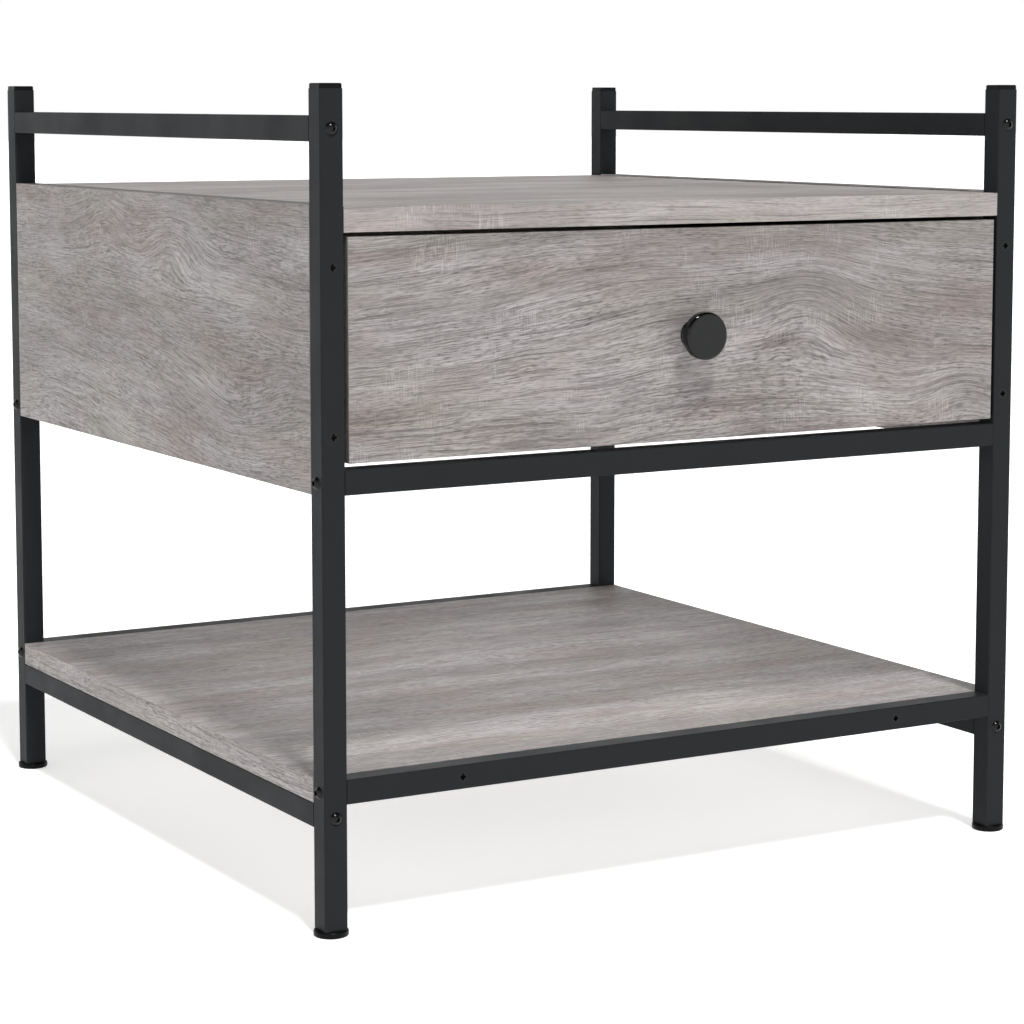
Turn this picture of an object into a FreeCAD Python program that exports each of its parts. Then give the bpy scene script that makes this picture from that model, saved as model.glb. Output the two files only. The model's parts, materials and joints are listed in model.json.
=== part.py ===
"""Side table with one drawer: a knock-down frame of square steel tube that
holds laminated boards, with the drawer on two telescopic slides.

Frame: +Z up, the drawer opens towards -Y, millimetres. The origin is on the
floor, under the middle of the whole table, knob and feet included.
"""

import FreeCAD, Part
import math
import os
import re
import Sketcher

Vector = FreeCAD.Vector
Rotation = FreeCAD.Rotation
UP = Vector(0, 0, 1)
DOWN = Vector(0, 0, -1)
RIGHT = Vector(1, 0, 0)
BACK = Vector(0, 1, 0)
SIDES = {"left": -1, "right": 1}
ENDS = {"front": -1, "back": 1}

doc = FreeCAD.newDocument("side_table")

# ---------------------------------------------------------------- sizes
SIZES = {
    # whole table
    "table_width": 510,
    "table_depth": 510,
    "table_height": 500,
    # steel tube of the frame
    "tube_side": 15,
    "tube_wall": 1.2,
    "tube_corner": 1.0,
    # laminated boards
    "board_thickness": 15,
    "board_arris": 0.4,
    "panel_proud": 1.0,
    # levels, from the top of the posts downwards and from the floor upwards
    "top_drop": 70.5,
    "top_rail_drop": 18.5,
    "bay_height": 137.5,
    "shelf_level": 94,
    # plastic post caps and feet
    "cap_lip": 3,
    "cap_inset": 0.3,
    "cap_edge": 1.0,
    "cap_plug": 9,
    "foot_diameter": 21,
    "foot_height": 4,
    "foot_edge": 1.2,
    "foot_plug": 12,
    "plug_clearance": 0.05,
    # frame bolts and the threaded plugs in the rail ends
    "bolt_diameter": 5,
    "bolt_head": 8,
    "bolt_dome": 2.4,
    "bolt_socket": 3,
    "bolt_hole_play": 0.1,
    "end_plug_length": 15,
    "end_plug_clearance": 0.05,
    # countersunk screws
    "screw_diameter": 4,
    "screw_head": 6.8,
    "screw_play": 0.05,
    "panel_screw_length": 45,
    "panel_screw_rise": 34.5,
    "panel_screw_drop": 36,
    "shelf_screw_length": 40,
    "shelf_screw_inset": 77.5,
    "small_screw": 3.5,
    "small_head": 6.5,
    "small_screw_length": 10,
    # back panel
    "back_thickness": 5,
    "back_rebate": 4,
    "back_side_play": 0.3,
    "back_rise": 2,
    "back_screw_length": 13,
    "back_screw_pitch": 160,
    # cam fittings
    "cam_diameter": 12,
    "cam_depth": 9.5,
    "cam_setback": 24,
    "cam_play": 0.1,
    "cam_shank": 6,
    "cam_thread": 5,
    "cam_thread_length": 11,
    "top_cam_pitch": 300,
    # drawer
    "front_side_gap": 2.5,
    "front_top_gap": 2.5,
    "front_bottom_gap": 3.5,
    "drawer_board": 12,
    "drawer_back_room": 45,
    "drawer_rise": 10,
    "drawer_side_height": 100,
    "drawer_bottom_thickness": 4,
    "drawer_bottom_rise": 10,
    "groove_depth": 5,
    "groove_play": 0.2,
    "drawer_screw_length": 30,
    "drawer_fixing_inset": 20,
    # knob
    "knob_head": 29.6,
    "knob_base": 17,
    "knob_neck": 13.6,
    "knob_reach": 18,
    "knob_foot": 1.6,
    "knob_rim": 3.2,
    "knob_bevel": 2.0,
    "knob_screw": 4,
    "knob_screw_head": 8,
    "knob_screw_grip": 9,
    # telescopic slides
    "slide_setback": 3,
    "slide_end_room": 27,
    "slide_rise": 58,
    "slide_thickness": 12.7,
    "slide_height": 35,
    "slide_wall": 1.2,
    "slide_lip": 1.0,
    "slide_edge_gap": 1.5,
    "slide_play": 0.4,
    "ball_diameter": 3.2,
    "ball_play": 0.05,
    "ball_pitch": 35,
    "cage_wall": 1.0,
    "cage_length": 170,
    "cage_setback": 105,
    "cage_pocket_play": 0.1,
    "slide_screw_inset": 35,
}

# Places and sizes that follow from the driving ones.
FORMULAS = {
    "half_width": "table_width / 2",
    "half_depth": "table_depth / 2",
    "bay_x": "table_width / 2 - tube_side",
    "bay_y": "table_depth / 2 - tube_side",
    "post_x": "table_width / 2 - tube_side / 2",
    "post_y": "table_depth / 2 - tube_side / 2",
    "tube_bore": "tube_side - 2 * tube_wall",
    "top_surface": "table_height - top_drop",
    "top_underside": "top_surface - board_thickness",
    "top_middle": "top_surface - board_thickness / 2",
    "top_rail_top": "table_height - top_rail_drop",
    "top_rail_middle": "top_rail_top - tube_side / 2",
    "mid_rail_top": "top_underside - bay_height",
    "mid_rail_bottom": "mid_rail_top - tube_side",
    "mid_rail_middle": "mid_rail_top - tube_side / 2",
    "cross_rail_middle": "shelf_level - tube_side / 2",
    "shelf_bottom": "shelf_level - board_thickness",
    "side_rail_middle": "shelf_bottom - tube_side / 2",
    "panel_bottom": "mid_rail_bottom",
    "panel_top": "top_surface + panel_proud",
    "rear_reach": "max(foot_diameter / 2 - tube_side / 2; bolt_dome)",
    "centre_y": "(knob_reach - rear_reach) / 2",
    "front_bottom": "mid_rail_top + front_bottom_gap",
    "front_top": "top_underside - front_top_gap",
    "front_back_face": "-half_depth + board_thickness",
    "knob_level": "(front_bottom + front_top) / 2",
    "box_x": "bay_x - slide_thickness",
    "box_inside_x": "box_x - drawer_board",
    "box_back": "bay_y - back_thickness - drawer_back_room",
    "box_bottom": "mid_rail_top + drawer_rise",
    "box_top": "box_bottom + drawer_side_height",
    "groove_bottom": "box_bottom + drawer_bottom_rise",
    "groove_top": "groove_bottom + drawer_bottom_thickness",
    "slide_front": "front_back_face + slide_setback",
    "slide_back": "box_back - slide_end_room",
    "slide_level": "mid_rail_top + slide_rise",
    "cage_front": "slide_front + cage_setback",
    "cage_middle": "cage_front + cage_length / 2",
    # half heights of the nested slide members, from the outermost inwards
    "race_gap": "ball_diameter + 2 * ball_play",
    "outer_half": "slide_height / 2",
    "outer_inside": "outer_half - slide_wall",
    "middle_half": "outer_inside - race_gap",
    "middle_inside": "middle_half - slide_wall",
    "inner_half": "middle_inside - race_gap",
    "inner_inside": "inner_half - slide_wall",
    # reach from the side panel inwards of each member's web and edge
    "outer_cage_web": "slide_wall + slide_play",
    "middle_web": "outer_cage_web + cage_wall + slide_play",
    "inner_cage_web": "middle_web + slide_wall + slide_play",
    "inner_edge": "inner_cage_web + cage_wall + slide_play",
    "inner_web": "slide_thickness - slide_wall",
    "outer_edge": "slide_thickness - slide_edge_gap - slide_play",
    "middle_edge": "slide_thickness - slide_edge_gap",
    "outer_cage_edge": "outer_edge - slide_lip - slide_play",
    "outer_ball_reach": "(outer_cage_web + outer_cage_edge) / 2 + slide_play",
    "inner_cage_edge": "middle_edge - slide_play",
    "inner_ball_reach": "(inner_edge + middle_edge) / 2",
}


def make_sheet():
    """The driving sizes, one named cell each."""
    made = doc.addObject("Spreadsheet::Sheet", "sizes")
    for row, (name, size) in enumerate(SIZES.items(), start=1):
        made.set(f"A{row}", name)
        made.set(f"B{row}", str(size))
        made.setAlias(f"B{row}", name)
    doc.recompute()
    return made


sheet = make_sheet()


def spelled(text):
    """An expression with every formula written out and every cell named in full."""

    def swap(match):
        word = match.group(0)
        if word in FORMULAS:
            return "(" + spelled(FORMULAS[word]) + ")"
        if word in SIZES:
            return "sizes." + word
        return word

    return re.sub(r"[a-z_]+", swap, str(text))


def bind(thing, prop, text):
    thing.setExpression(prop, spelled(text))


def number(text):
    """The present value of an expression."""
    return float(sheet.evalExpression(spelled(text)))


def vector(*texts):
    return Vector(*[number(text) for text in texts])


# ---------------------------------------------------------------- solids by features
class Piece:
    """A body with its own placement, cut and drilled at places given in the table's frame."""

    def __init__(self, name, origin):
        self.origin = origin
        self.body = doc.addObject("PartDesign::Body", name)
        self.body.Label = name
        for axis, text in zip("xyz", origin):
            shift = " + centre_y" if axis == "y" else ""
            bind(self.body, f"Placement.Base.{axis}", f"({text}){shift}")

    def plane(self, role):
        return next(f for f in self.body.Origin.OriginFeatures if f.Role == role)

    def sketch(self, role):
        made = self.body.newObject("Sketcher::SketchObject", self.body.Name + "_sketch")
        made.AttachmentSupport = [(self.plane(role), "")]
        made.MapMode = "FlatFace"
        return made

    def feature(self, kind, at, direction=UP):
        """A feature of its own shape, turned from +Z to direction, with its base at a place."""
        made = self.body.newObject(f"PartDesign::{kind}", f"{self.body.Name}_{kind}")
        made.Placement = FreeCAD.Placement(Vector(), Rotation(UP, direction))
        for axis, text, own in zip("xyz", at, self.origin):
            bind(made, f"Placement.Base.{axis}", f"({text}) - ({own})")
        return made

    def round_edges(self, radius, along=None):
        """Rounds every edge of the solid so far, or only those along one axis."""
        doc.recompute()
        base = self.body.Tip
        made = self.body.newObject("PartDesign::Fillet", self.body.Name + "_rounding")
        made.Base = (base, edges_along(base.Shape, along or RIGHT))
        made.UseAllEdges = along is None
        bind(made, "Radius", radius)

    def round_top(self, radius):
        """Rounds the outline of the solid's highest face."""
        doc.recompute()
        base = self.body.Tip
        heights = [face.CenterOfMass.z for face in base.Shape.Faces]
        made = self.body.newObject("PartDesign::Fillet", self.body.Name + "_top_rounding")
        made.Base = (base, [f"Face{heights.index(max(heights)) + 1}"])
        bind(made, "Radius", radius)

    def box_feature(self, kind, low, high):
        made = self.feature(kind, low)
        for prop, start, end in zip(("Length", "Width", "Height"), low, high):
            bind(made, prop, f"({end}) - ({start})")

    def cut(self, low, high):
        self.box_feature("SubtractiveBox", low, high)

    def add(self, low, high):
        self.box_feature("AdditiveBox", low, high)

    def drill(self, at, direction, diameter, depth):
        hole = self.feature("SubtractiveCylinder", at, direction)
        bind(hole, "Radius", f"({diameter}) / 2")
        bind(hole, "Height", depth)

    def countersink(self, at, direction, head, shank):
        """A right-angled cone, from the head's diameter at the surface down to the shank's."""
        cone = self.feature("SubtractiveCone", at, direction)
        bind(cone, "Radius1", f"({head}) / 2")
        bind(cone, "Radius2", f"({shank}) / 2")
        bind(cone, "Height", f"(({head}) - ({shank})) / 2")


def edges_along(shape, axis):
    """The names of the straight edges that run along an axis."""
    names = []
    for index, edge in enumerate(shape.Edges, start=1):
        if edge.Curve.TypeId != "Part::GeomLine":
            continue
        if abs(abs(edge.tangentAt(edge.FirstParameter).dot(axis)) - 1) < 1e-6:
            names.append(f"Edge{index}")
    return names


def draw_rectangle(sketch, across, deep):
    """A rectangle centred on the sketch's origin."""
    corners = [Vector(-5, -4, 0), Vector(5, -4, 0), Vector(5, 4, 0), Vector(-5, 4, 0)]
    for index, corner in enumerate(corners):
        sketch.addGeometry(Part.LineSegment(corner, corners[(index + 1) % 4]), False)
    for index in range(4):
        sketch.addConstraint(Sketcher.Constraint("Coincident", index, 2, (index + 1) % 4, 1))
    for index in (0, 2):
        sketch.addConstraint(Sketcher.Constraint("Horizontal", index))
        sketch.addConstraint(Sketcher.Constraint("Vertical", index + 1))
    sketch.addConstraint(Sketcher.Constraint("Symmetric", 0, 1, 1, 2, -1, 1))
    sizes = (("across", "DistanceX", 0, across), ("deep", "DistanceY", 1, deep))
    for name, kind, line, text in sizes:
        made = sketch.addConstraint(Sketcher.Constraint(kind, line, 1, line, 2, 8))
        sketch.renameConstraint(made, name)
        bind(sketch, f"Constraints.{name}", text)


def block(name, low, high):
    """A padded rectangle that fills the box from low to high."""
    middle = [f"(({a}) + ({b})) / 2" for a, b in zip(low, high)]
    piece = Piece(name, (middle[0], middle[1], low[2]))
    outline = piece.sketch("XY_Plane")
    draw_rectangle(outline, f"({high[0]}) - ({low[0]})", f"({high[1]}) - ({low[1]})")
    pad = piece.body.newObject("PartDesign::Pad", name + "_pad")
    pad.Profile = outline
    bind(pad, "Length", f"({high[2]}) - ({low[2]})")
    return piece


def board(name, low, high):
    """A laminated board: a block with its arrises eased."""
    piece = block(name, low, high)
    piece.round_edges("board_arris")
    return piece


def tube(name, middle, axis, start, end):
    """Square tube along an axis, with middle giving its centre line's other two places."""
    low, high, bore_low, bore_high = [], [], [], []
    for index, text in enumerate(middle):
        if index == "xyz".index(axis):
            low.append(start)
            high.append(end)
            bore_low.append(start)
            bore_high.append(end)
        else:
            low.append(f"({text}) - tube_side / 2")
            high.append(f"({text}) + tube_side / 2")
            bore_low.append(f"({text}) - tube_bore / 2")
            bore_high.append(f"({text}) + tube_bore / 2")
    piece = block(name, low, high)
    piece.round_edges("tube_corner", {"x": RIGHT, "y": BACK, "z": UP}[axis])
    piece.cut(bore_low, bore_high)
    return piece


# ---------------------------------------------------------------- fasteners by revolving
def turned(outline):
    """A solid of revolution about Z from (radius, level) points that start and end on the axis."""
    points = [Vector(radius, 0, level) for radius, level in outline]
    wire = Part.makePolygon(points + points[:1])
    return Part.Face(wire).revolve(Vector(), UP, 360)


def hexagon_prism(across, depth):
    """Hexagonal socket, across flats, from level 0 up."""
    radius = across / math.sqrt(3)
    turns = [math.radians(60 * step) for step in range(7)]
    wire = Part.makePolygon([Vector(radius * math.cos(a), radius * math.sin(a), 0) for a in turns])
    return Part.Face(wire).extrude(UP * depth)


def frame_bolt():
    """Button-head bolt: seat at level 0, shank towards +Z, domed head with a hexagonal socket."""
    head = number("bolt_head") / 2
    dome = number("bolt_dome")
    shank = number("bolt_diameter") / 2
    length = number("tube_side + end_plug_length")
    crown = (head ** 2 + dome ** 2) / (2 * dome)
    ball = Part.makeSphere(crown, Vector(0, 0, crown - dome))
    cap = ball.common(Part.makeCylinder(head, dome, Vector(0, 0, -dome)))
    chamfer = number("bolt_diameter") / 8
    body = turned([(0, 0), (shank, 0), (shank, length - chamfer), (shank - chamfer, length), (0, length)])
    socket = hexagon_prism(number("bolt_socket"), dome * 0.7)
    socket.translate(Vector(0, 0, -dome))
    return cap.fuse(body).removeSplitter().cut(socket)


def countersunk_screw(diameter, head, length):
    """Flat-headed screw: head flush at level 0, point towards +Z, a deep cross recess with a round middle."""
    shank = diameter / 2
    cone = head / 2 - shank
    outline = [(0, 0), (head / 2, 0), (shank, cone), (shank, length - diameter), (0, length)]
    screw = turned(outline)
    reach = head * 0.6
    arm = diameter * 0.3
    depth = cone + diameter / 4
    for across, deep in ((reach, arm), (arm, reach)):
        screw = screw.cut(Part.makeBox(across, deep, cone, Vector(-across / 2, -deep / 2, 0)))
    return screw.cut(Part.makeCone(reach * 0.36, arm / 2, depth))


def group(name, shape, places):
    """One node of equal solids, each turned from +Z to its direction at its place."""
    copies = []
    for place, direction in places:
        copy = shape.copy()
        copy.Placement = FreeCAD.Placement(vector(*place), Rotation(UP, direction))
        copies.append(copy)
    made = doc.addObject("Part::Feature", name)
    made.Label = name
    made.Shape = Part.makeCompound(copies)
    bind(made, "Placement.Base.y", "centre_y")
    return made


# ---------------------------------------------------------------- steel frame
def drill_post(piece, side, end, x, y):
    """The holes of one post: two bolts along Y, two along X and two panel screws along Y."""
    inwards = Vector(0, -end, 0)
    face = f"{end} * half_depth"
    for level in ("top_rail_middle", "side_rail_middle"):
        piece.drill((x, face, level), inwards, "bolt_diameter + bolt_hole_play", "tube_side")
    for level in ("mid_rail_middle", "cross_rail_middle"):
        outer = f"{side} * half_width"
        piece.drill((outer, y, level), Vector(-side, 0, 0), "bolt_diameter + bolt_hole_play", "tube_side")
    for level in ("panel_bottom + panel_screw_rise", "panel_top - panel_screw_drop"):
        piece.drill((x, face, level), inwards, "screw_diameter + 2 * screw_play", "tube_side")
        piece.countersink((x, face, level), inwards, "screw_head + 2 * screw_play", "screw_diameter")


def make_posts():
    for end_name, end in ENDS.items():
        for side_name, side in SIDES.items():
            corner = f"{end_name}_{side_name}"
            x = f"{side} * post_x"
            y = f"{end} * post_y"
            post = tube(f"post_{corner}", (x, y, 0), "z", "foot_height", "table_height - cap_lip")
            drill_post(post, side, end, x, y)
            make_cap(corner, x, y)
            make_foot(corner, x, y)


def make_cap(corner, x, y):
    """Plastic cap: a lip on the end of the post and a hollow plug inside it."""
    lip = "tube_side / 2 - cap_inset"
    top = "table_height - cap_lip"
    cap = block(
        f"post_cap_{corner}",
        (f"{x} - ({lip})", f"{y} - ({lip})", top),
        (f"{x} + ({lip})", f"{y} + ({lip})", "table_height"),
    )
    cap.round_edges("tube_corner", UP)
    cap.round_top("cap_edge")
    plug = "tube_bore / 2 - plug_clearance"
    hollow = "tube_bore / 2 - plug_clearance - tube_wall"
    for half, work, level in ((plug, cap.add, f"{top} + cap_lip / 2"), (hollow, cap.cut, top)):
        work(
            (f"{x} - ({half})", f"{y} - ({half})", f"{top} - cap_plug"),
            (f"{x} + ({half})", f"{y} + ({half})", level),
        )


def make_foot(corner, x, y):
    """Plastic glide: a round disc under the post, with a square plug up inside it."""
    foot = Piece(f"foot_{corner}", (x, y, "0"))
    outline = foot.sketch("XY_Plane")
    outline.addGeometry(Part.Circle(Vector(), UP, 10), False)
    outline.addConstraint(Sketcher.Constraint("Coincident", 0, 3, -1, 1))
    made = outline.addConstraint(Sketcher.Constraint("Diameter", 0, 21))
    outline.renameConstraint(made, "across")
    bind(outline, "Constraints.across", "foot_diameter")
    disc = foot.body.newObject("PartDesign::Pad", foot.body.Name + "_disc")
    disc.Profile = outline
    bind(disc, "Length", "foot_height")
    foot.round_edges("foot_edge")
    half = "tube_bore / 2 - plug_clearance"
    foot.add(
        (f"{x} - ({half})", f"{y} - ({half})", "foot_height / 2"),
        (f"{x} + ({half})", f"{y} + ({half})", "foot_height + foot_plug"),
    )


def rail_along_x(name, y, middle):
    return tube(name, (0, y, middle), "x", "-bay_x", "bay_x")


def rail_along_y(name, x, middle):
    return tube(name, (x, 0, middle), "y", "-bay_y", "bay_y")


def make_rails():
    for side_name, side in SIDES.items():
        x = f"{side} * post_x"
        rail_along_y(f"top_rail_{side_name}", x, "top_rail_middle")
        rail_along_y(f"lower_rail_{side_name}", x, "side_rail_middle")
    for end_name, end in ENDS.items():
        y = f"{end} * post_y"
        inwards = Vector(0, -end, 0)
        mid_rail = rail_along_x(f"mid_rail_{end_name}", y, "mid_rail_middle")
        if end_name == "back":
            for x in back_screw_places():
                hole = "small_screw + 2 * screw_play"
                mid_rail.drill((x, "bay_y", "mid_rail_middle"), BACK, hole, "tube_wall")
        cross_rail = rail_along_x(f"lower_rail_{end_name}", y, "cross_rail_middle")
        for x in shelf_screw_places():
            place = (x, f"{end} * half_depth", "cross_rail_middle")
            cross_rail.drill(place, inwards, "screw_diameter + 2 * screw_play", "tube_side")
            cross_rail.countersink(place, inwards, "screw_head + 2 * screw_play", "screw_diameter")


def make_end_plugs():
    """Threaded steel blocks pressed into both ends of every rail."""
    side = number("tube_bore - 2 * end_plug_clearance")
    length = number("end_plug_length")
    plug = Part.makeBox(side, side, length, Vector(-side / 2, -side / 2, 0))
    plug = plug.cut(Part.makeCylinder(number("bolt_diameter + bolt_hole_play") / 2, length))
    places = []
    for side_sign in SIDES.values():
        for end_sign in ENDS.values():
            for level in ("top_rail_middle", "side_rail_middle"):
                place = (f"{side_sign} * post_x", f"{end_sign} * bay_y", level)
                places.append((place, Vector(0, -end_sign, 0)))
            for level in ("mid_rail_middle", "cross_rail_middle"):
                place = (f"{side_sign} * bay_x", f"{end_sign} * post_y", level)
                places.append((place, Vector(-side_sign, 0, 0)))
    group("rail_end_plugs", plug, places)


def make_frame_bolts():
    bolt = frame_bolt()
    side_bolts, cross_bolts = [], []
    for side in SIDES.values():
        for end in ENDS.values():
            for level in ("top_rail_middle", "side_rail_middle"):
                place = (f"{side} * post_x", f"{end} * half_depth", level)
                side_bolts.append((place, Vector(0, -end, 0)))
            for level in ("mid_rail_middle", "cross_rail_middle"):
                place = (f"{side} * half_width", f"{end} * post_y", level)
                cross_bolts.append((place, Vector(-side, 0, 0)))
    group("side_rail_bolts", bolt, side_bolts)
    group("cross_rail_bolts", bolt, cross_bolts)


# ---------------------------------------------------------------- boards
def across_side(side, near, far):
    """The low and high X of a span that lies near to far from the middle, on one side."""
    if side > 0:
        return near, far
    return f"-({far})", f"-({near})"


def back_screw_places():
    return ("-back_screw_pitch", "0", "back_screw_pitch")


def shelf_screw_places():
    return ("-bay_x + shelf_screw_inset", "bay_x - shelf_screw_inset")


def slide_screw_places():
    """Three screws along each slide."""
    return (
        "slide_front + slide_screw_inset",
        "(slide_front + slide_back) / 2",
        "slide_back - slide_screw_inset",
    )


def top_cam_places():
    return ("-top_cam_pitch / 2", "top_cam_pitch / 2")


def make_side_panels():
    for side_name, side in SIDES.items():
        low_x, high_x = across_side(side, "bay_x", "bay_x + board_thickness")
        panel = board(
            f"side_panel_{side_name}",
            (low_x, "-bay_y", "panel_bottom"),
            (high_x, "bay_y", "panel_top"),
        )
        low_x, high_x = across_side(side, "bay_x", "bay_x + back_rebate")
        panel.cut(
            (low_x, "bay_y - back_thickness", "panel_bottom + back_rise"),
            (high_x, "bay_y", "top_underside"),
        )
        inner_x = f"{side} * bay_x"
        outwards = Vector(side, 0, 0)
        for end in ENDS.values():
            for level in ("panel_bottom + panel_screw_rise", "panel_top - panel_screw_drop"):
                place = (f"{side} * post_x", f"{end} * bay_y", level)
                depth = "panel_screw_length - tube_side"
                panel.drill(place, Vector(0, -end, 0), "screw_diameter + 2 * screw_play", depth)
        for y in top_cam_places():
            hole = "cam_thread + 2 * screw_play"
            panel.drill((inner_x, y, "top_middle"), outwards, hole, "cam_thread_length")
        for y in slide_screw_places():
            place = (inner_x, y, "slide_level")
            depth = "small_screw_length - slide_wall"
            panel.drill(place, outwards, "small_screw + 2 * screw_play", depth)
            panel.countersink(place, outwards, "small_head - 2 * slide_wall + 2 * screw_play", "small_screw")


def make_top_board():
    top = board(
        "top_board",
        ("-bay_x", "-half_depth", "top_underside"),
        ("bay_x", "half_depth", "top_surface"),
    )
    for side in SIDES.values():
        for y in top_cam_places():
            cam_seat(top, (f"{side} * bay_x", y, "top_middle"), Vector(-side, 0, 0), DOWN, "board_thickness")


def make_shelf():
    shelf = board(
        "shelf",
        ("-half_width", "-bay_y", "shelf_bottom"),
        ("half_width", "bay_y", "shelf_level"),
    )
    for end in ENDS.values():
        for x in shelf_screw_places():
            depth = "shelf_screw_length - tube_side"
            place = (x, f"{end} * bay_y", "cross_rail_middle")
            shelf.drill(place, Vector(0, -end, 0), "screw_diameter + 2 * screw_play", depth)


def make_back_panel():
    reach = "bay_x + back_rebate - back_side_play"
    front = "bay_y - back_thickness"
    panel = block(
        "back_panel",
        (f"-({reach})", front, "panel_bottom + back_rise"),
        (reach, "bay_y", "top_underside"),
    )
    for x in back_screw_places():
        place = (x, front, "mid_rail_middle")
        panel.drill(place, BACK, "small_screw + 2 * screw_play", "back_thickness")
        panel.countersink(place, BACK, "small_head + 2 * screw_play", "small_screw")


def make_board_screws():
    screw = countersunk_screw(number("screw_diameter"), number("screw_head"), number("panel_screw_length"))
    places = []
    for side in SIDES.values():
        for end in ENDS.values():
            for level in ("panel_bottom + panel_screw_rise", "panel_top - panel_screw_drop"):
                place = (f"{side} * post_x", f"{end} * half_depth", level)
                places.append((place, Vector(0, -end, 0)))
    group("panel_screws", screw, places)
    screw = countersunk_screw(number("screw_diameter"), number("screw_head"), number("shelf_screw_length"))
    places = []
    for end in ENDS.values():
        for x in shelf_screw_places():
            places.append(((x, f"{end} * half_depth", "cross_rail_middle"), Vector(0, -end, 0)))
    group("shelf_screws", screw, places)
    screw = countersunk_screw(number("small_screw"), number("small_head"), number("back_screw_length"))
    places = [((x, "bay_y - back_thickness", "mid_rail_middle"), BACK) for x in back_screw_places()]
    group("back_panel_screws", screw, places)


# ---------------------------------------------------------------- cam fittings
def moved(place, direction, distance):
    """A place moved along an axis direction by an expression."""
    return tuple(f"({text}) + ({part}) * ({distance})" for text, part in zip(place, direction))


def cam_seat(piece, joint, inwards, open_side, thickness):
    """In the edge at joint: a bore for the bolt, and a round seat for the cam from one face."""
    piece.drill(joint, inwards, "cam_shank + 2 * screw_play", "cam_setback + cam_shank")
    seat = moved(moved(joint, inwards, "cam_setback"), open_side, f"{thickness} / 2")
    piece.drill(seat, open_side * -1, "cam_diameter + 2 * cam_play", "cam_depth")


def cam(thickness):
    """Cam: a drum with a mouth for the bolt's end, and a cross recess in its open face.

    Its axis is Z, its open face is at level 0 and its mouth looks along -X, at the board's mid level.
    """
    radius = number("cam_diameter") / 2
    depth = number("cam_depth")
    shank = number("cam_shank + 4 * screw_play")
    middle = number(thickness) / 2
    drum = Part.makeCylinder(radius, depth)
    mouth_low = middle - shank / 2
    mouth = Part.makeBox(radius, shank, depth - mouth_low, Vector(-radius, -shank / 2, mouth_low))
    bowl = Part.makeCylinder(shank / 2, depth - mouth_low, Vector(0, 0, mouth_low))
    recess_width = radius / 4
    recess = Part.makeBox(radius, recess_width, 2, Vector(-radius / 2, -recess_width / 2, 0))
    other = Part.makeBox(recess_width, radius, 2, Vector(-recess_width / 2, -radius / 2, 0))
    return drum.cut(mouth).cut(bowl).cut(recess).cut(other)


def cam_bolt():
    """Bolt of a cam fitting: the joint at level 0, its thread towards +Z and its end in the cam."""
    shank = number("cam_shank") / 2
    thread = number("cam_thread") / 2
    setback = number("cam_setback")
    neck = shank * 0.6
    tip = thread * 0.4
    length = number("cam_thread_length")
    return turned([
        (0, -setback - shank * 0.6), (shank * 0.7, -setback - shank * 0.6), (shank, -setback),
        (neck, -setback + shank), (neck, -setback + 2 * shank), (shank, -setback + 2.6 * shank),
        (shank, -0.2), (thread, 0), (thread, length - thread), (tip, length), (0, length),
    ])


def cam_group(name, joints, thickness):
    """Cams and their bolts at joints given as (place, way into the bored board, way of the open face)."""
    shape = cam(thickness)
    copies, bolts = [], []
    for joint, inwards, open_side in joints:
        seat = moved(moved(joint, inwards, "cam_setback"), open_side, f"{thickness} / 2")
        copy = shape.copy()
        turn = Rotation(inwards, (open_side * -1).cross(inwards), open_side * -1, "ZXY")
        copy.Placement = FreeCAD.Placement(vector(*seat), turn)
        copies.append(copy)
        bolts.append((joint, inwards * -1))
    made = doc.addObject("Part::Feature", f"{name}_cams")
    made.Label = made.Name
    made.Shape = Part.makeCompound(copies)
    bind(made, "Placement.Base.y", "centre_y")
    group(f"{name}_cam_bolts", cam_bolt(), bolts)


def make_top_cams():
    joints = []
    for side in SIDES.values():
        for y in top_cam_places():
            joints.append(((f"{side} * bay_x", y, "top_middle"), Vector(-side, 0, 0), DOWN))
    cam_group("top", joints, "board_thickness")


# ---------------------------------------------------------------- drawer
def drawer_fixing_levels():
    return ("box_bottom + drawer_fixing_inset + drawer_bottom_rise", "box_top - drawer_fixing_inset")


def make_drawer_front():
    front = board(
        "drawer_front",
        ("-bay_x + front_side_gap", "-half_depth", "front_bottom"),
        ("bay_x - front_side_gap", "front_back_face", "front_top"),
    )
    reach = "box_inside_x + groove_depth"
    front.cut(
        (f"-({reach})", "front_back_face - groove_depth", "groove_bottom"),
        (reach, "front_back_face", "groove_top"),
    )
    front.drill(("0", "-half_depth", "knob_level"), BACK, "knob_screw + 0.5", "board_thickness")
    forwards = BACK * -1
    for side in SIDES.values():
        for level in drawer_fixing_levels():
            place = (f"{side} * (box_x - drawer_board / 2)", "front_back_face", level)
            front.drill(place, forwards, "cam_thread + 2 * screw_play", "cam_thread_length")


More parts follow.
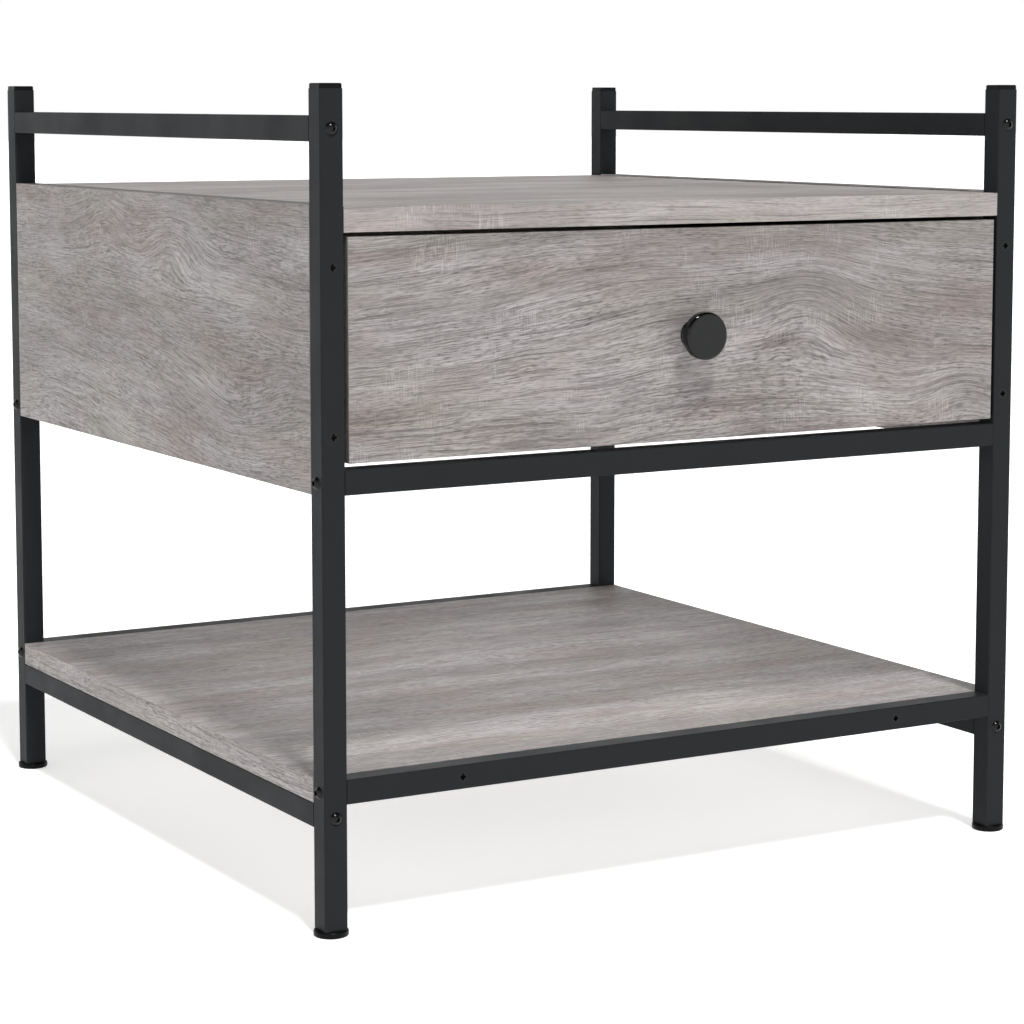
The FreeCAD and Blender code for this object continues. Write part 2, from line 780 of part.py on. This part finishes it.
def make_drawer_sides():
    for side_name, side in SIDES.items():
        low_x, high_x = across_side(side, "box_inside_x", "box_x")
        wall = block(
            f"drawer_side_{side_name}",
            (low_x, "front_back_face", "box_bottom"),
            (high_x, "box_back", "box_top"),
        )
        low_x, high_x = across_side(side, "box_inside_x", "box_inside_x + groove_depth")
        wall.cut((low_x, "front_back_face", "groove_bottom"), (high_x, "box_back", "groove_top"))
        inwards = Vector(-side, 0, 0)
        for level in drawer_fixing_levels():
            joint = (f"{side} * (box_x - drawer_board / 2)", "front_back_face", level)
            cam_seat(wall, joint, BACK, inwards, "drawer_board")
            place = (f"{side} * box_x", "box_back - drawer_board / 2", level)
            wall.drill(place, inwards, "small_screw + 2 * screw_play", "drawer_board")
            wall.countersink(place, inwards, "small_head + 2 * screw_play", "small_screw")
        for y in slide_screw_places():
            place = (f"{side} * box_x", y, "slide_level")
            depth = "small_screw_length - slide_wall"
            wall.drill(place, inwards, "small_screw + 2 * screw_play", depth)
            wall.countersink(place, inwards, "small_head - 2 * slide_wall + 2 * screw_play", "small_screw")


def make_drawer_back():
    back = block(
        "drawer_back",
        ("-box_inside_x", "box_back - drawer_board", "groove_top"),
        ("box_inside_x", "box_back", "box_top"),
    )
    for side in SIDES.values():
        for level in drawer_fixing_levels():
            place = (f"{side} * box_inside_x", "box_back - drawer_board / 2", level)
            depth = "drawer_screw_length - drawer_board"
            back.drill(place, Vector(-side, 0, 0), "small_screw + 2 * screw_play", depth)


def make_drawer_bottom():
    reach = "box_inside_x + groove_depth - groove_play"
    block(
        "drawer_bottom",
        (f"-({reach})", "front_back_face - groove_depth + groove_play", "groove_bottom"),
        (reach, "box_back", "groove_top"),
    )


def make_drawer_fixings():
    joints, places = [], []
    for side in SIDES.values():
        inwards = Vector(-side, 0, 0)
        for level in drawer_fixing_levels():
            joint = (f"{side} * (box_x - drawer_board / 2)", "front_back_face", level)
            joints.append((joint, BACK, inwards))
            places.append(((f"{side} * box_x", "box_back - drawer_board / 2", level), inwards))
    cam_group("drawer", joints, "drawer_board")
    screw = countersunk_screw(number("small_screw"), number("small_head"), number("drawer_screw_length"))
    group("drawer_back_screws", screw, places)


def make_knob():
    """Turned knob: a small foot, a hollowed neck and a broad head with a bevelled flat face."""
    knob = Piece("knob", ("0", "-half_depth", "knob_level"))
    base = number("knob_base") / 2
    head = number("knob_head") / 2
    neck = number("knob_neck") / 2
    reach = number("knob_reach")
    rim = number("knob_rim")
    foot = number("knob_foot")
    bevel = number("knob_bevel")
    shoulder = reach - bevel - rim
    profile = knob.sketch("YZ_Plane")

    def point(radius, out):
        return Vector(-out, radius, 0)

    start_of_neck = point(base - 0.8, foot)
    end_of_neck = point(head, shoulder)
    waist = point(neck, foot + (shoulder - foot) * 0.36)
    corners = [
        (point(0, 0), point(base, 0)),
        (point(base, 0), point(base, foot - 0.6)),
        (point(base, foot - 0.6), start_of_neck),
        None,
        (end_of_neck, point(head, shoulder + rim)),
        None,
        (point(head - bevel, reach), point(0, reach)),
        (point(0, reach), point(0, 0)),
    ]
    soft = point(head - bevel * 0.3, reach - bevel * 0.3)
    arcs = {
        3: Part.Arc(start_of_neck, waist, end_of_neck),
        5: Part.Arc(point(head, shoulder + rim), soft, point(head - bevel, reach)),
    }
    for index, ends in enumerate(corners):
        profile.addGeometry(arcs[index] if ends is None else Part.LineSegment(*ends), False)
    turn = knob.body.newObject("PartDesign::Revolution", "knob_turning")
    turn.Profile = profile
    turn.ReferenceAxis = (profile, ["H_Axis"])
    turn.Angle = 360
    place = ("0", "-half_depth", "knob_level")
    knob.drill(place, BACK * -1, "knob_screw + 2 * screw_play", "knob_screw_grip")


def make_knob_screw():
    """Pan-headed machine screw from inside the drawer into the knob."""
    shank = number("knob_screw") / 2
    head = number("knob_screw_head") / 2
    length = number("board_thickness + knob_screw_grip - 1")
    thick = head * 0.55
    screw = turned([
        (0, -thick), (head * 0.7, -thick), (head, -thick * 0.45), (head, 0),
        (shank, 0), (shank, length - 0.6), (shank - 0.6, length), (0, length),
    ])
    for across, deep in ((head, head * 0.25), (head * 0.25, head)):
        screw = screw.cut(Part.makeBox(across, deep, thick * 0.7, Vector(-across / 2, -deep / 2, -thick)))
    group("knob_screw", screw, [(("0", "front_back_face", "knob_level"), BACK * -1)])


# ---------------------------------------------------------------- telescopic slides
def reach_in(side, near, far):
    """The low and high X of a span near to far inwards from a side panel's inner face."""
    return across_side(side, f"bay_x - ({far})", f"bay_x - ({near})")


def slide_member(name, side, near, far, half):
    low_x, high_x = reach_in(side, near, far)
    return block(
        name,
        (low_x, "slide_front", f"slide_level - ({half})"),
        (high_x, "slide_back", f"slide_level + ({half})"),
    )


def hollow_out(member, side, near, far, half, start="slide_front", end="slide_back"):
    low_x, high_x = reach_in(side, near, far)
    member.cut(
        (low_x, start, f"slide_level - ({half})"),
        (high_x, end, f"slide_level + ({half})"),
    )


def make_slide_members(side_name, side):
    outer = slide_member(f"slide_outer_{side_name}", side, "0", "outer_edge", "outer_half")
    hollow_out(outer, side, "slide_wall", "outer_edge - slide_lip", "outer_inside")
    hollow_out(outer, side, "outer_edge - slide_lip", "outer_edge", "outer_inside - slide_lip")
    middle = slide_member(f"slide_middle_{side_name}", side, "middle_web", "middle_edge", "middle_half")
    hollow_out(middle, side, "middle_web + slide_wall", "middle_edge", "middle_inside")
    inner = slide_member(f"slide_inner_{side_name}", side, "inner_edge", "slide_thickness", "inner_half")
    hollow_out(inner, side, "inner_edge", "inner_web", "inner_inside")
    for y in slide_screw_places():
        outwards = Vector(side, 0, 0)
        for member, reach, way in ((outer, "slide_wall", outwards), (inner, "inner_web", outwards * -1)):
            place = (f"{side} * (bay_x - {reach})", y, "slide_level")
            member.countersink(place, way, "small_head + 2 * screw_play", "small_screw + 2 * screw_play")


def make_cage(name, side, web, edge, ball_reach, ball_level):
    """Ball cage: a folded strip with pockets that hold the balls above and below."""
    low_x, high_x = reach_in(side, web, edge)
    half = f"{ball_level} + cage_wall / 2"
    cage = block(
        f"{name}_cage",
        (low_x, "cage_front", f"slide_level - ({half})"),
        (high_x, "cage_front + cage_length", f"slide_level + ({half})"),
    )
    end = "cage_front + cage_length"
    hollow_out(cage, side, f"{web} + cage_wall", edge, f"{half} - cage_wall", "cage_front", end)
    balls = []
    x = f"{side} * (bay_x - {ball_reach})"
    for step in range(-2, 3):
        y = f"cage_middle + {step} * ball_pitch"
        pocket = (x, y, f"slide_level - ({half})")
        cage.drill(pocket, UP, "ball_diameter + 2 * cage_pocket_play", f"2 * ({half})")
        for sign in (-1, 1):
            balls.append(((x, y, f"slide_level + {sign} * ({ball_level})"), UP))
    group(f"{name}_balls", Part.makeSphere(number("ball_diameter") / 2), balls)


def make_slides():
    for side_name, side in SIDES.items():
        make_slide_members(side_name, side)
        level = "(outer_inside + middle_half) / 2"
        name = f"outer_{side_name}"
        make_cage(name, side, "outer_cage_web", "outer_cage_edge", "outer_ball_reach", level)
        level = "(middle_inside + inner_half) / 2"
        name = f"inner_{side_name}"
        make_cage(name, side, "inner_cage_web", "inner_cage_edge", "inner_ball_reach", level)


def make_slide_screws():
    screw = countersunk_screw(number("small_screw"), number("small_head"), number("small_screw_length"))
    on_panels, on_drawer = [], []
    for side in SIDES.values():
        outwards = Vector(side, 0, 0)
        for y in slide_screw_places():
            on_panels.append(((f"{side} * (bay_x - slide_wall)", y, "slide_level"), outwards))
            on_drawer.append(((f"{side} * (bay_x - inner_web)", y, "slide_level"), outwards * -1))
    group("panel_slide_screws", screw, on_panels)
    group("drawer_slide_screws", screw, on_drawer)


# ---------------------------------------------------------------- build, check and write
def finished_pieces():
    kinds = ("PartDesign::Body", "Part::Feature")
    return [thing for thing in doc.Objects if thing.TypeId in kinds]


def check():
    doc.recompute()
    for thing in doc.Objects:
        wrong = [word for word in thing.State if word in ("Invalid", "Error")]
        if wrong:
            raise RuntimeError(f"{thing.Name}: {thing.State}")
    for piece in finished_pieces():
        if piece.Shape.isNull() or not piece.Shape.isValid():
            raise RuntimeError(f"{piece.Label}: no valid shape")


def write():
    os.makedirs("parts", exist_ok=True)
    for piece in finished_pieces():
        piece.Shape.exportStep(os.path.join("parts", piece.Label + ".step"))


make_posts()
make_rails()
make_end_plugs()
make_frame_bolts()
make_side_panels()
make_top_board()
make_shelf()
make_back_panel()
make_board_screws()
make_top_cams()
make_drawer_front()
make_drawer_sides()
make_drawer_back()
make_drawer_bottom()
make_drawer_fixings()
make_knob()
make_knob_screw()
make_slides()
make_slide_screws()
check()
write()
print(len(finished_pieces()), "pieces written")
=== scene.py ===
import json
import math
import bmesh
import bpy
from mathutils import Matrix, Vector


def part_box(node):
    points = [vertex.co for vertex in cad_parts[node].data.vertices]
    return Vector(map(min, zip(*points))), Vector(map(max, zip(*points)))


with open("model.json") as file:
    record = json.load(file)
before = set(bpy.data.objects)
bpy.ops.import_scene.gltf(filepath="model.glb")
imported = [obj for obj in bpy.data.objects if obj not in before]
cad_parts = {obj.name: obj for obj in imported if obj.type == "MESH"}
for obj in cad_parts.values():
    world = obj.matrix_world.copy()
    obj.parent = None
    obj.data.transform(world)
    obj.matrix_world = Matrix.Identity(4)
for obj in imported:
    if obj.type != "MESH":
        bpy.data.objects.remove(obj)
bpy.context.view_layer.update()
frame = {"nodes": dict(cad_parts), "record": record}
nodes = frame["nodes"]
mm = 0.001


def linear(hexColour, alpha=1.0):
    # sRGB hex to the linear values that the shader sockets take
    parts = [int(hexColour[i:i + 2], 16) / 255 for i in (1, 3, 5)]
    curve = [c / 12.92 if c <= 0.04045 else ((c + 0.055) / 1.055) ** 2.4 for c in parts]
    return (*curve, alpha)


def addNode(tree, kind, inputs=None, **settings):
    # one node, its settings, and its inputs as plain values or as sockets to link
    node = tree.nodes.new("ShaderNode" + kind)
    for name, value in settings.items():
        setattr(node, name, value)
    for name, value in (inputs or {}).items():
        if isinstance(value, bpy.types.NodeSocket):
            tree.links.new(value, node.inputs[name])
        else:
            node.inputs[name].default_value = value
    return node


def newMaterial(name):
    material = bpy.data.materials.new(name)
    material.use_nodes = True
    tree = material.node_tree
    return material, tree, tree.nodes["Principled BSDF"]


def coat(material, *names):
    # a CAD node keeps its mesh and takes the material
    for name in names:
        slots = nodes[name].material_slots
        for slot in slots:
            slot.link = "OBJECT"
            slot.material = material
        if not slots:
            nodes[name].data.materials.append(material)


cameraLook = {
    "place": (-0.9762, -1.7145, 0.4911),
    "turn": 30.02,       # degrees clockwise from looking along +Y
    "tilt": 6.224,       # degrees down
    "lens": 100.28,
    "sensor": 36,
    "shift": (0.0, -0.10),
    "reach": 50,         # metres, past the far edge of the floor that shows
}


def makeCamera(look):
    camera = bpy.data.cameras.new("camera")
    camera.lens = look["lens"]
    camera.sensor_width = look["sensor"]
    camera.shift_x, camera.shift_y = look["shift"]
    camera.clip_end = look["reach"]
    holder = bpy.data.objects.new("camera", camera)
    holder.location = look["place"]
    holder.rotation_euler = (math.radians(90 - look["tilt"]), 0, math.radians(-look["turn"]))
    bpy.context.scene.collection.objects.link(holder)
    bpy.context.scene.camera = holder
    bpy.context.scene.view_settings.view_transform = "Standard"


makeCamera(cameraLook)
print("camera placed")

studioLook = {
    "floorSize": 60.0,
    "floorColour": "#F6F6F5",
    "floorRoughness": 0.9,
    "floorSpecular": 0.1,
    "floorGlow": 0.55,    # a light table, which keeps the shadows pale
    "backdrop": 1.0,      # what the camera sees past the floor
    # soft boxes all round: bright up to some way above the horizon, dim overhead
    "round": 1.17,
    "overhead": 0.05,
    "fade": (0.36, 0.62),
    "key": {"turn": -6, "rise": 60, "spread": 9, "power": 2.6},
    # a flat lamp under the drawer, which keeps the shelf as light as the faces outside
    "lamp": {"margin": 0.02, "drop": 0.004, "power": 0.62},
}


def makeFloor(look):
    sheet = bmesh.new()
    bmesh.ops.create_grid(sheet, x_segments=1, y_segments=1, size=look["floorSize"] / 2)
    mesh = bpy.data.meshes.new("floor")
    sheet.to_mesh(mesh)
    sheet.free()
    floor = bpy.data.objects.new("floor", mesh)
    bpy.context.scene.collection.objects.link(floor)
    # matt painted studio floor: it only shows as a pale ground with a faint shadow
    material, tree, shader = newMaterial("pale studio floor")
    shader.inputs["Base Color"].default_value = linear(look["floorColour"])
    shader.inputs["Roughness"].default_value = look["floorRoughness"]
    shader.inputs["Specular IOR Level"].default_value = look["floorSpecular"]
    shader.inputs["Emission Color"].default_value = (1, 1, 1, 1)
    shader.inputs["Emission Strength"].default_value = look["floorGlow"]
    mesh.materials.append(material)


def addLight(name, kind, power):
    light = bpy.data.lights.new(name, kind)
    light.energy = power
    holder = bpy.data.objects.new(name, light)
    bpy.context.scene.collection.objects.link(holder)
    return light, holder


def makeKey(look):
    light, holder = addLight("key", "SUN", look["power"])
    light.angle = math.radians(look["spread"])
    holder.rotation_euler = (math.radians(90 - look["rise"]), 0, math.radians(look["turn"]))


def makeLamp(look):
    # it hangs just below the lowest edge round the drawer and reaches nearly to the shelf's edges
    low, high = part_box("shelf")
    light, holder = addLight("lamp", "AREA", look["power"])
    light.shape = "RECTANGLE"
    light.size, light.size_y = (high[i] - low[i] - 2 * look["margin"] for i in (0, 1))
    lowest = min(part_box(name)[0][2] for name in ("side_panel_left", "mid_rail_front"))
    holder.location = ((low[0] + high[0]) / 2, (low[1] + high[1]) / 2, lowest - look["drop"])
    holder.visible_camera = False


def makeWorld(look):
    world = bpy.data.worlds.new("studio")
    world.use_nodes = True
    bpy.context.scene.world = world
    tree = world.node_tree
    tree.nodes.clear()
    seen = addNode(tree, "LightPath").outputs["Is Camera Ray"]
    towards = addNode(tree, "TexCoord").outputs["Generated"]
    up = addNode(tree, "SeparateXYZ", {0: towards}).outputs[2]
    low, high = look["fade"]
    boxes = addNode(tree, "MapRange", {
        "Value": up, "From Min": low, "From Max": high,
        "To Min": look["round"], "To Max": look["overhead"]}, interpolation_type="SMOOTHSTEP")
    soft = addNode(tree, "Background", {"Strength": boxes.outputs[0]})
    plain = addNode(tree, "Background", {"Strength": look["backdrop"]})
    for shade in (soft, plain):
        shade.inputs["Color"].default_value = (1, 1, 1, 1)
    both = addNode(tree, "MixShader", {0: seen, 1: soft.outputs[0], 2: plain.outputs[0]})
    addNode(tree, "OutputWorld", {"Surface": both.outputs[0]})


makeFloor(studioLook)
makeKey(studioLook["key"])
makeLamp(studioLook["lamp"])
makeWorld(studioLook)
print("studio lit")

# Melamine laminate: paper printed with rough-sawn grey oak and pressed with fine open
# pores, so it looks matt, with dark dashes that follow the growth lines and pale saw marks
oakLook = {
    "paper": "#A29D9D",
    "tints": {
        "mid": "#7A7472",
        "dark": "#403A39",
        "rosy": "#806C65",
        "olive": "#908E7E",
        "saw": "#C8C4C3",
    },
    "ior": 1.5,
    "roughness": 0.5,
    "poreRoughness": 0.1,      # how much rougher the pores are
    "pressDepth": 0.12,
    "pressStrength": 0.6,
    "noiseDetail": 2.0,
    "noiseRoughness": 0.55,
    # growth lines are pushed sideways by these waves; all sizes are in mm
    "waves": {
        "figure": {"long": 210, "wide": 80, "push": 46},
        "ripple": {"long": 40, "wide": 20, "push": 3.4},
        "crinkle": {"long": 7, "wide": 5, "push": 2.2},
    },
    # what is printed, in turn: real pores are 0.3 mm wide, drawn as coarse as they show
    "layers": {
        "clouds": {"long": 240, "wide": 42, "range": (0.42, 0.60), "share": 0.7, "tint": "mid"},
        "bands": {"long": 170, "wide": 9, "range": (0.40, 0.68), "share": 0.42, "tint": "mid"},
        "rosy": {"long": 130, "wide": 30, "range": (0.50, 0.72), "share": 0.52, "tint": "rosy"},
        "olive": {"long": 130, "wide": 30, "range": (0.50, 0.72), "share": 0.42, "tint": "olive"},
        "fibres": {"long": 22, "wide": 0.62, "range": (0.40, 0.70), "share": 0.62, "tint": "dark"},
        "dashes": {"long": 6.5, "wide": 0.8, "range": (0.46, 0.71), "share": 0.85, "tint": "dark"},
        "lines": {"long": 90, "wide": 1.5, "range": (0.57, 0.70), "share": 0.55, "tint": "dark"},
        "saws": {"long": 0.8, "wide": 10, "range": (0.50, 0.70), "share": 0.27, "tint": "saw"},
    },
    "straight": ("rosy", "olive", "saws"),     # these don't follow the growth lines
    "crowd": {"long": 50, "wide": 18, "range": (0.36, 0.64)},      # where the dashes crowd
    "sawn": {"long": 34, "wide": 30, "range": (0.54, 0.66)},       # where the saw marks show
    # added to a board's seed, so that no two of its patterns run alike
    "seedSteps": {"waves": 0, "crowd": 4, "sawn": 6, "layers": 7},
    "drift": (1, 1.7, 0.6),      # how far a seed moves the noise along its own three axes
}
# turn: board to world. seed: where its noise is cut from. waves: how wavy its lines are.
# depth: how strongly its pores are printed. The last factor lightens the print; on the top board
# and the shelf it is painted light, standing in for light they get too little of.
# eyes: along, across, length, width and lift of each swirl
boards = {
    "top_board": {
        "turn": (0, 0, 0), "seed": 3.0, "waves": 0.3, "depth": 0.55, "paintedLightTone": 1.19,
        "eyes": []},
    "shelf": {
        "turn": (0, 0, 0), "seed": 11.0, "waves": 0.5, "depth": 1.0, "paintedLightTone": 1.22,
        "eyes": [(60, 60, 120, 30, -22)]},
    "drawer_front": {
        "turn": (90, 0, 0), "seed": 23.0, "waves": 0.42, "depth": 1.0, "paintedLightTone": 1.0,
        "eyes": [
            (88, 28, 36, 28, -14),
            (20, 20, 170, 70, -27),
            (215, -38, 30, 20, -10),
        ]},
    "side_panel_left": {
        "turn": (90, 0, 90), "seed": 37.0, "waves": 0.5, "depth": 0.95, "paintedLightTone": 1.0,
        "eyes": [
            (200, -50, 210, 90, -34),
            (72, 60, 46, 26, -19),
            (-38, 50, 52, 24, -20),
            (-130, -50, 70, 34, 18),
        ]},
    "side_panel_right": {
        "turn": (90, 0, 90), "seed": 51.0, "waves": 0.5, "depth": 0.95, "paintedLightTone": 1.0,
        "eyes": [
            (-180, -30, 180, 90, -34),
            (60, 50, 60, 24, -16),
            (110, -50, 80, 34, 18),
        ]},
    "back_panel": {
        "turn": (90, 0, 0), "seed": 67.0, "waves": 0.6, "depth": 0.7, "paintedLightTone": 1.0,
        "eyes": [(-70, 10, 120, 50, -22)]},
    "drawer_bottom": {
        "turn": (0, 0, 0), "seed": 83.0, "waves": 0.4, "depth": 0.5, "paintedLightTone": 1.0,
        "eyes": []},
}


def grainLayer(tree, place, grain, seed):
    # noise stretched along the grain, with the named range spread over 0 to 1
    stretch = addNode(tree, "Mapping", {
        "Vector": place,
        "Location": tuple(seed * share for share in oakLook["drift"]),
        "Scale": (1 / grain["long"], 1 / grain["wide"], 1 / grain["wide"]),
    })
    noise = addNode(tree, "TexNoise", {
        "Vector": stretch.outputs[0], "Scale": 1.0,
        "Detail": oakLook["noiseDetail"], "Roughness": oakLook["noiseRoughness"]})
    low, high = grain.get("range", (0, 1))
    return addNode(tree, "MapRange", {
        "Value": noise.outputs[0], "From Min": low, "From Max": high}).outputs[0]


edgeFacing = 0.7       # past this share along the grain, a face counts as the board's end


def boardPlace(tree, name, board):
    # millimetres from the board's middle, with the grain along X and the face towards Z
    low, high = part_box(name)
    source = addNode(tree, "TexCoord")
    turn = [math.radians(a) for a in board["turn"]]
    flat = addNode(tree, "Mapping", {
        "Vector": source.outputs["Object"], "Location": (low + high) / 2,
        "Rotation": turn, "Scale": (mm, mm, mm)}, vector_type="TEXTURE")
    facing = addNode(tree, "Mapping", {
        "Vector": source.outputs["Normal"], "Rotation": turn}, vector_type="TEXTURE")
    # an edge band across the grain is printed along its own edge
    parts = addNode(tree, "SeparateXYZ", {0: flat.outputs[0]}).outputs
    band = addNode(tree, "CombineXYZ", {0: parts[1], 1: parts[2], 2: parts[0]})
    tilt = addNode(tree, "SeparateXYZ", {0: facing.outputs[0]})
    endways = addNode(tree, "Math", {0: tilt.outputs[0]}, operation="ABSOLUTE").outputs[0]
    atEnd = addNode(tree, "Math", {0: endways, 1: edgeFacing}, operation="GREATER_THAN").outputs[0]
    return addNode(tree, "Mix", {
        0: atEnd, 4: flat.outputs[0], 5: band.outputs[0]}, data_type="VECTOR").outputs[1]


def growthLines(tree, place, board, look):
    # the distance across the board, pushed about by the waves and the eyes
    axes = addNode(tree, "SeparateXYZ", {0: place}).outputs
    across = addNode(tree, "Math", {0: axes[1], 1: axes[2]}, operation="ADD").outputs[0]
    growth = across
    firstSeed = board["seed"] + look["seedSteps"]["waves"]
    for step, wave in enumerate(look["waves"].values()):
        swell = grainLayer(tree, place, wave, firstSeed + step)
        growth = addNode(tree, "Math", {
            0: swell, 1: wave["push"] * board["waves"], 2: growth},
            operation="MULTIPLY_ADD").outputs[0]
    for eyeAlong, eyeAcross, length, width, lift in board["eyes"]:
        # each swirl lifts the lines most at its middle and fades out round it, as a bell does
        far = addNode(tree, "Math", {
            0: axes[0], 1: 1 / length, 2: -eyeAlong / length}, operation="MULTIPLY_ADD").outputs[0]
        side = addNode(tree, "Math", {
            0: across, 1: 1 / width, 2: -eyeAcross / width}, operation="MULTIPLY_ADD").outputs[0]
        square = addNode(tree, "Math", {0: side, 1: side}, operation="MULTIPLY").outputs[0]
        spread = addNode(tree, "Math", {
            0: far, 1: far, 2: square}, operation="MULTIPLY_ADD").outputs[0]
        falling = addNode(tree, "Math", {0: spread, 1: -1.0}, operation="MULTIPLY").outputs[0]
        bulge = addNode(tree, "Math", {0: falling}, operation="EXPONENT").outputs[0]
        growth = addNode(tree, "Math", {
            0: bulge, 1: lift, 2: growth}, operation="MULTIPLY_ADD").outputs[0]
    return addNode(tree, "CombineXYZ", {0: axes[0], 1: growth}).outputs[0]


def greyOak(name, board, look):
    title = "grey oak melamine laminate, " + name.replace("_", " ")
    material, tree, shader = newMaterial(title)
    place = boardPlace(tree, name, board)
    flow = growthLines(tree, place, board, look)
    steps = look["seedSteps"]
    crowd = grainLayer(tree, flow, look["crowd"], board["seed"] + steps["crowd"])
    # dashes are printed at half strength everywhere, and at full strength where they crowd
    half = board["depth"] / 2
    crowding = addNode(tree, "Math", {
        0: crowd, 1: half, 2: half}, operation="MULTIPLY_ADD").outputs[0]
    masks = {
        "fibres": board["depth"],
        "dashes": crowding,
        "saws": grainLayer(tree, place, look["sawn"], board["seed"] + steps["sawn"]),
    }
    colour = linear(look["paper"])
    amounts = {}
    for step, (layer, grain) in enumerate(look["layers"].items()):
        source = place if layer in look["straight"] else flow
        amount = grainLayer(tree, source, grain, board["seed"] + steps["layers"] + step)
        amounts[layer] = addNode(tree, "Math", {
            0: amount, 1: masks.get(layer, 1.0)}, operation="MULTIPLY").outputs[0]
        ink = addNode(tree, "Math", {
            0: amounts[layer], 1: grain["share"]}, operation="MULTIPLY").outputs[0]
        tint = linear(look["tints"][grain["tint"]])
        colour = addNode(tree, "Mix", {
            0: ink, 6: colour, 7: tint}, data_type="RGBA").outputs[2]
    pressed = addNode(tree, "Math", {
        0: amounts["dashes"], 1: amounts["fibres"]}, operation="ADD").outputs[0]
    dent = addNode(tree, "Bump", {
        "Height": pressed, "Strength": look["pressStrength"],
        "Distance": look["pressDepth"] * mm}, invert=True)
    gloss = addNode(tree, "Math", {
        0: pressed, 1: look["poreRoughness"], 2: look["roughness"]},
        operation="MULTIPLY_ADD").outputs[0]
    # painted light: the top board and the shelf come out lighter than their laminate, in place of
    # light they would get
    paintedLightColour = addNode(tree, "HueSaturation", {"Value": board["paintedLightTone"], "Color": colour})
    tree.links.new(paintedLightColour.outputs[0], shader.inputs["Base Color"])
    tree.links.new(gloss, shader.inputs["Roughness"])
    tree.links.new(dent.outputs[0], shader.inputs["Normal"])
    shader.inputs["IOR"].default_value = look["ior"]
    return material


for name, board in boards.items():
    coat(greyOak(name, board, oakLook), name)
print("laminate boards finished")

slots = {}       # the nodes of each of the record's material slots
for part in frame["record"]["subparts"]:
    slots.setdefault(part["material_slot"], []).append(part["node"])

# Each plain finish: two colours that mottle slowly over a patch, and a fine relief, in mm
finishes = {
    # baked powder on steel tube: an even satin black with a faint orange peel
    "satin black powder coat": {
        "slot": "powder_coated_steel", "colours": ("#1D1F21", "#222426"), "patch": 40,
        "roughness": 0.5, "relief": 1.6, "depth": 0.03, "specular": 0.07},
    # injection-moulded caps, plugs and glides: duller and blacker than the paint beside them
    "moulded black polyethylene": {
        "slot": "black_plastic", "colours": ("#050505", "#090909"), "patch": 12,
        "roughness": 0.4, "relief": 0.8, "depth": 0.03, "specular": 0.1},
    # blackened screws and bolts: deep black, with the oil's gloss on the domes
    "black oxide steel": {
        "slot": "black_oxide_bolts", "colours": ("#040404", "#0A0A0B"), "patch": 4,
        "roughness": 0.22, "relief": 0.7, "depth": 0.01, "specular": 0.25},
    # sprayed and polished lacquer on the knob: near black with mirror-like highlights
    "glossy black lacquer": {
        "slot": "glossy_black_knob", "colours": ("#040506", "#08090B"), "patch": 20,
        "roughness": 0.07, "relief": 2.5, "depth": 0.004, "specular": 0.3},
    # melamine-faced chipboard of the drawer box: plain warm grey with a fine pearl texture
    "grey melamine chipboard": {
        "slot": "grey_board", "colours": ("#A09B98", "#AAA5A2"), "patch": 60,
        "roughness": 0.48, "relief": 1.2, "depth": 0.03, "specular": 0.5},
    # bright zinc on rolled strip: cool grey metal, slightly cloudy
    "zinc-plated steel": {
        "slot": "zinc_plated_steel", "colours": ("#B9BDC1", "#CFD2D5"), "patch": 8,
        "roughness": 0.32, "relief": 0.5, "depth": 0.01, "metallic": 1.0},
    # die-cast zinc cams: duller and rougher than plate
    "die-cast zinc": {
        "slot": "zinc_casting", "colours": ("#8E9092", "#A5A7A9"), "patch": 3,
        "roughness": 0.48, "relief": 0.4, "depth": 0.02, "metallic": 1.0},
    # ground and polished bearing balls
    "polished bearing steel": {
        "slot": "bearing_steel", "colours": ("#C9CBCD", "#D6D8DA"), "patch": 2,
        "roughness": 0.08, "relief": 0.4, "depth": 0.001, "metallic": 1.0},
}


finishNoise = {
    "slowDetail": 3.0, "fineDetail": 2.0,
    "mottle": (0.3, 0.7),        # the part of the slow noise that changes the gloss
    "gloss": (0.85, 1.15),       # the roughness at its two ends, as shares of the finish's own
    "bump": 0.5,
}


def plainFinish(name, look, noise):
    material, tree, shader = newMaterial(name)
    place = addNode(tree, "TexCoord").outputs["Object"]
    slow = addNode(tree, "TexNoise", {
        "Vector": place, "Scale": 1 / (look["patch"] * mm), "Detail": noise["slowDetail"]})
    fine = addNode(tree, "TexNoise", {
        "Vector": place, "Scale": 1 / (look["relief"] * mm), "Detail": noise["fineDetail"]})
    tint = addNode(tree, "Mix", {
        0: slow.outputs[0], 6: linear(look["colours"][0]), 7: linear(look["colours"][1])},
        data_type="RGBA")
    gloss = addNode(tree, "MapRange", {
        "Value": slow.outputs[0],
        "From Min": noise["mottle"][0], "From Max": noise["mottle"][1],
        "To Min": look["roughness"] * noise["gloss"][0],
        "To Max": look["roughness"] * noise["gloss"][1]})
    bump = addNode(tree, "Bump", {
        "Height": fine.outputs[0], "Strength": noise["bump"], "Distance": look["depth"] * mm})
    tree.links.new(tint.outputs[2], shader.inputs["Base Color"])
    tree.links.new(gloss.outputs[0], shader.inputs["Roughness"])
    tree.links.new(bump.outputs[0], shader.inputs["Normal"])
    shader.inputs["Metallic"].default_value = look.get("metallic", 0.0)
    shader.inputs["Specular IOR Level"].default_value = look.get("specular", 0.5)
    return material


for name, look in finishes.items():
    coat(plainFinish(name, look, finishNoise), *slots[look["slot"]])
print("plain finishes made")
